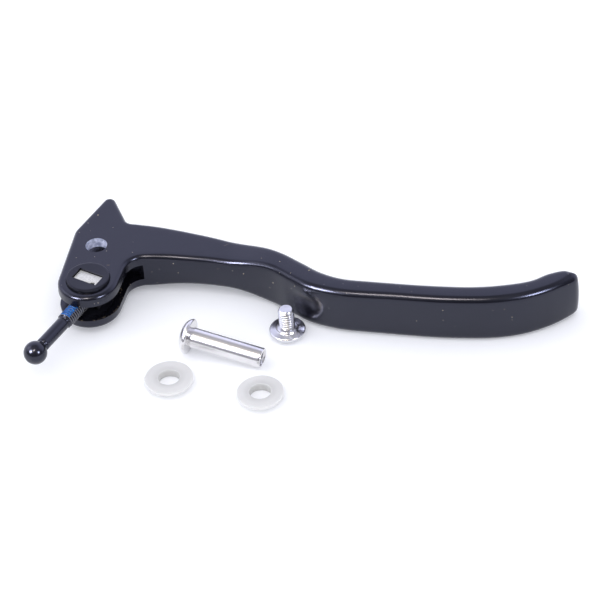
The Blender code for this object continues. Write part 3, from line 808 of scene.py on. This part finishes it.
mottle = add_node(tree, "ShaderNodeTexNoise", {"Vector": place, "Scale": 2200.0, "Detail": 4.0,
                                               "Roughness": 0.7})
blue = blend_colour(tree, ramp(tree, mottle.outputs["Fac"], 0.35, 0.65), (0.0, 0.055, 0.27, 1.0),
                    (0.0, 0.21, 0.68, 1.0))
rub = ramp(tree, mottle.outputs["Fac"], 0.3, 0.7, -0.0001, 0.0001)
rubbed = add_node(tree, "ShaderNodeMath", {0: turned_from(tree, place)["Radius"], 1: rub}, operation="ADD")
overlay = ramp(tree, rubbed.outputs[0], 0.00188, 0.00194)
tree.links.new(blend_colour(tree, overlay, blue, (0.006, 0.012, 0.03, 1.0)), shader.inputs["Base Color"])
relief = add_node(tree, "ShaderNodeBump", {"Height": mottle.outputs["Fac"], "Distance": 0.00004})
tree.links.new(relief.outputs["Normal"], shader.inputs["Normal"])
patch = new_piece("blue_thread_lock", finish_mesh("blue_thread_lock", nylon_mesh), blue_nylon, rod_place)
shade(patch, 60.0)
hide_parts("thread_lock_patch")
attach(patch, "pushrod")

# The pivot pin is polished stainless steel with a thin pan head and a hexagon socket, bored and tapped
# from its far end. It rolls on the head's rim and the tail.
PIN_FROM_PIVOT = (24.1, -26.9)
PIN_YAW = math.radians(-19.8)
PIN_RADIUS = 2.5
PIN_LENGTH = 18.5
HEAD_RADIUS = 4.4
HEAD_HEIGHT = 2.2
BORE_MAJOR = 1.95
BORE_MINOR = 1.62
BORE_DEPTH = 13.0


def pin_radius(radius, z, angle):
    """The pin's radius, with the thread cut in its bore."""
    if abs(radius - BORE_MINOR) > 1e-6 or z < PIN_LENGTH - 8.0:
        return radius
    return thread_radius(z, angle, BORE_MINOR, BORE_MAJOR, PIN_LENGTH - 8.0, PIN_LENGTH + 0.5)


rim_z = -0.45
bore = [(0.0, PIN_LENGTH - BORE_DEPTH)] + [
    (BORE_MINOR, z) for z in spaced(PIN_LENGTH - BORE_DEPTH, PIN_LENGTH - 0.3, PITCH / 11.0)]
pin_profile = bore + [(BORE_MAJOR, PIN_LENGTH)]
pin_profile += [
    (PIN_RADIUS - 0.22, PIN_LENGTH), (PIN_RADIUS - 0.08, PIN_LENGTH - 0.06), (PIN_RADIUS, PIN_LENGTH - 0.25),
]
pin_profile += [(PIN_RADIUS, z) for z in spaced(PIN_LENGTH - 0.6, 0.45, 0.5)]
pin_profile += [
    (PIN_RADIUS - 0.12, 0.3), (PIN_RADIUS - 0.12, 0.1), (PIN_RADIUS + 0.05, 0.0), (HEAD_RADIUS - 0.4, 0.0),
    (HEAD_RADIUS - 0.16, -0.05), (HEAD_RADIUS - 0.03, -0.2), (HEAD_RADIUS, rim_z),
    (HEAD_RADIUS - 0.05, -0.68), (HEAD_RADIUS - 0.22, -1.0), (HEAD_RADIUS - 0.55, -1.38),
    (HEAD_RADIUS - 1.0, -1.74), (HEAD_RADIUS - 1.6, -2.03),
    (HEAD_RADIUS - 2.2, -HEAD_HEIGHT), (0.0, -HEAD_HEIGHT),
]
pin_tilt = math.atan((HEAD_RADIUS - PIN_RADIUS) / (PIN_LENGTH - 0.4 - rim_z))
pin_low = HEAD_RADIUS * math.cos(pin_tilt) + rim_z * math.sin(pin_tilt) + 0.03
pin_turn = Matrix.Rotation(PIN_YAW, 4, "Z") @ Matrix.Rotation(math.pi / 2.0 + pin_tilt, 4, "Y")
pin_centre = at(*PIN_FROM_PIVOT)
pin_centre.z = pin_low * MM
pin_place = Matrix.Translation(pin_centre) @ pin_turn


def bright_metal(name, dark, light, roughness, marks, matrix=None, root=0.0, top=0.0):
    """Turned and polished metal: fine marks round its own axis, a faint blotchy tone, and thread roots
    painted dark as shade.
    """
    material, tree, shader = new_material(name, light, roughness, 1.0)
    place = own_place(tree, matrix)
    parts = turned_from(tree, place)
    along = add_node(tree, "ShaderNodeCombineXYZ", {"X": parts["Height"]}).outputs["Vector"]
    rings = add_node(tree, "ShaderNodeTexNoise", {"Vector": along, "Scale": 24000.0, "Detail": 3.0})
    grains = add_node(tree, "ShaderNodeGroup", node_tree=grain)
    tree.links.new(place, grains.inputs["Vector"])
    tone = ramp(tree, grains.outputs["Slow"], 0.3, 0.7)
    metal = blend_colour(tree, tone, (*dark, 1.0), (*light, 1.0))
    if root > 0.0:
        # Painted shade: the thread roots are painted dark and made less metallic, between the boss and the
        # top of the thread.
        root_shade = ramp(tree, parts["Radius"], root + 0.0003, root + 0.00005)
        root_shade = product(tree, root_shade, ramp(tree, parts["Height"], 0.0026, 0.0029))
        root_shade = product(tree, root_shade, ramp(tree, parts["Height"], top, top - 0.0002))
        metal = blend_colour(tree, root_shade, metal, (0.13, 0.13, 0.14, 1.0))
        tree.links.new(ramp(tree, root_shade, 0.0, 1.0, 1.0, 0.2), shader.inputs["Metallic"])
    tree.links.new(metal, shader.inputs["Base Color"])
    tree.links.new(ramp(tree, grains.outputs["Fine"], 0.3, 0.7, roughness * 0.94, roughness * 1.08),
                   shader.inputs["Roughness"])
    relief = add_node(tree, "ShaderNodeBump", {"Height": rings.outputs["Fac"], "Distance": marks * MM})
    tree.links.new(relief.outputs["Normal"], shader.inputs["Normal"])
    return material


polished_steel = bright_metal("polished_stainless", (0.72, 0.71, 0.71), (0.82, 0.81, 0.81), 0.24, 0.001,
                              pin_turn)
pin_body = lathe("polished_pivot_pin", pin_profile, 160, pin_radius)
pin = new_piece("polished_pivot_pin", pin_body, polished_steel, pin_place)
pin_socket = pin_place @ Matrix.Translation((0.0, 0.0, -HEAD_HEIGHT * MM))
machine(pin, [(prism("pin_socket", hexagon(3.0), -2.0, 2.0), pin_socket, polished_steel)])
shade(pin, 42.0)
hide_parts("pivot_pin")
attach(pin, "pin")

# The pivot screw is plated steel: an M4 thread on a low boss over a wide domed head with a hexagon
# socket. It stands on the head.
SCREW_BOTTOM, SCREW_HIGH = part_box("pivot_screw")
screw_centre = (SCREW_BOTTOM + SCREW_HIGH) / 2.0
screw_centre.z = 0.0
SCREW_TOP = (SCREW_HIGH.z - SCREW_BOTTOM.z) / MM
SCREW_HEAD = (SCREW_HIGH.x - SCREW_BOTTOM.x) / 2.0 / MM
SEAT_Z = 1.9
BOSS_TOP = 2.45


def screw_radius(radius, z, angle):
    """The screw's radius, with its thread cut above the boss."""
    if abs(radius - THREAD_MAJOR) > 1e-6:
        return radius
    return thread_radius(z, angle, 1.5, THREAD_MAJOR, BOSS_TOP, SCREW_TOP - 0.1)


screw_profile = [(0.0, SCREW_TOP - 0.1), (1.0, SCREW_TOP - 0.06), (1.4, SCREW_TOP), (1.52, SCREW_TOP - 0.03),
                 (1.78, SCREW_TOP - 0.35)]
screw_profile += [(THREAD_MAJOR, z) for z in spaced(SCREW_TOP - 0.5, BOSS_TOP + 0.1, PITCH / 11.0)]
screw_profile += [
    (1.75, BOSS_TOP + 0.03), (2.3, BOSS_TOP), (2.5, BOSS_TOP - 0.1), (2.6, SEAT_Z + 0.1), (2.75, SEAT_Z),
    (SCREW_HEAD - 0.3, SEAT_Z), (SCREW_HEAD - 0.1, SEAT_Z - 0.07), (SCREW_HEAD, SEAT_Z - 0.3),
    (SCREW_HEAD, 1.2),
    (SCREW_HEAD - 0.12, 0.95), (SCREW_HEAD - 0.45, 0.6), (SCREW_HEAD - 1.0, 0.22), (SCREW_HEAD - 1.5, 0.04),
    (SCREW_HEAD - 1.8, 0.0), (0.0, 0.0),
]
bright_plate = bright_metal("bright_zinc_plate", (0.6, 0.6, 0.63), (0.74, 0.74, 0.76), 0.24, 0.0006,
                            root=0.0015, top=(SCREW_TOP - 0.5) * MM)
screw_place = Matrix.Translation(screw_centre)
screw_body = lathe("plated_pivot_screw", screw_profile, 96, screw_radius)
screw = new_piece("plated_pivot_screw", screw_body, bright_plate, screw_place)
machine(screw, [(prism("screw_socket", hexagon(2.5), -1.4, 1.4), screw_place, bright_plate)])
shade(screw, 50.0)
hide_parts("pivot_screw")
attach(screw, "screw")

# The pivot bushes are moulded from natural nylon: a thin flange on a short boss. Over the boss the flange is
# painted a darker ring, painted shade where less light comes through the thicker plastic. The left one keeps
# a nib of flash at its parting line.
FLANGE_THICKNESS = 1.0
BOSS_RADIUS = 3.7
HOLE_RADIUS = 2.55
natural_nylon, tree, shader = new_material("milky_nylon", (0.6, 0.6, 0.615), 0.38)
shader.inputs["Subsurface Weight"].default_value = 0.6
shader.inputs["Subsurface Radius"].default_value = (1.0, 1.0, 1.0)
shader.inputs["Subsurface Scale"].default_value = 0.0012
place = add_node(tree, "ShaderNodeTexCoord").outputs["Object"]
flat_place = add_node(tree, "ShaderNodeVectorMath", {0: place, 1: (1.0, 1.0, 0.0)}, operation="MULTIPLY")
from_axis = add_node(tree, "ShaderNodeVectorMath", {0: flat_place.outputs[0]}, operation="LENGTH")
# Painted shade: a darker ring round the hole, over the boss.
boss_shade_ring = ramp(tree, from_axis.outputs["Value"], 0.0042, 0.0030)
grains = add_node(tree, "ShaderNodeGroup", node_tree=grain)
tree.links.new(place, grains.inputs["Vector"])
milky = blend_colour(tree, ramp(tree, grains.outputs["Slow"], 0.3, 0.7), (0.645, 0.64, 0.625, 1.0),
                     (0.685, 0.68, 0.665, 1.0))
tree.links.new(blend_colour(tree, boss_shade_ring, milky, (0.59, 0.585, 0.57, 1.0)), shader.inputs["Base Color"])
relief = add_node(tree, "ShaderNodeBump", {"Height": grains.outputs["Fine"], "Distance": 0.000004})
tree.links.new(relief.outputs["Normal"], shader.inputs["Normal"])
for node, nib in (("pivot_bush_left", 0.25), ("pivot_bush_right", 0.0)):
    low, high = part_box(node)
    flange = (high.x - low.x) / 2.0 / MM - (0.0 if nib > 0.0 else 0.2)
    top = (high.z - low.z) / MM
    boss = top - FLANGE_THICKNESS

    def flange_radius(radius, z, angle, nib=nib, flange=flange):
        """The flange's radius, with the nib of flash on its left side."""
        if radius < flange - 0.5:
            return radius
        return radius + nib * math.exp(-((angle - math.pi) / 0.06) ** 2)

    profile = [
        (HOLE_RADIUS, top - 0.12), (HOLE_RADIUS + 0.1, top), (flange - 0.35, top),
        (flange - 0.1, top - 0.06),
        (flange, top - 0.25), (flange, boss + 0.25), (flange - 0.1, boss + 0.06), (flange - 0.35, boss),
        (BOSS_RADIUS + 0.1, boss), (BOSS_RADIUS, boss - 0.1), (BOSS_RADIUS, 0.1), (BOSS_RADIUS - 0.1, 0.0),
        (HOLE_RADIUS + 0.1, 0.0), (HOLE_RADIUS, 0.12),
    ]
    middle = (low + high) / 2.0
    bush_place = Matrix.Translation((middle.x, middle.y, low.z))
    bush_body = lathe("nylon_" + node, profile, 128, flange_radius)
    bush = new_piece("nylon_" + node, bush_body, natural_nylon, bush_place)
    shade(bush, 40.0)
    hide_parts(node)
    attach(bush, node.replace("pivot_", ""))
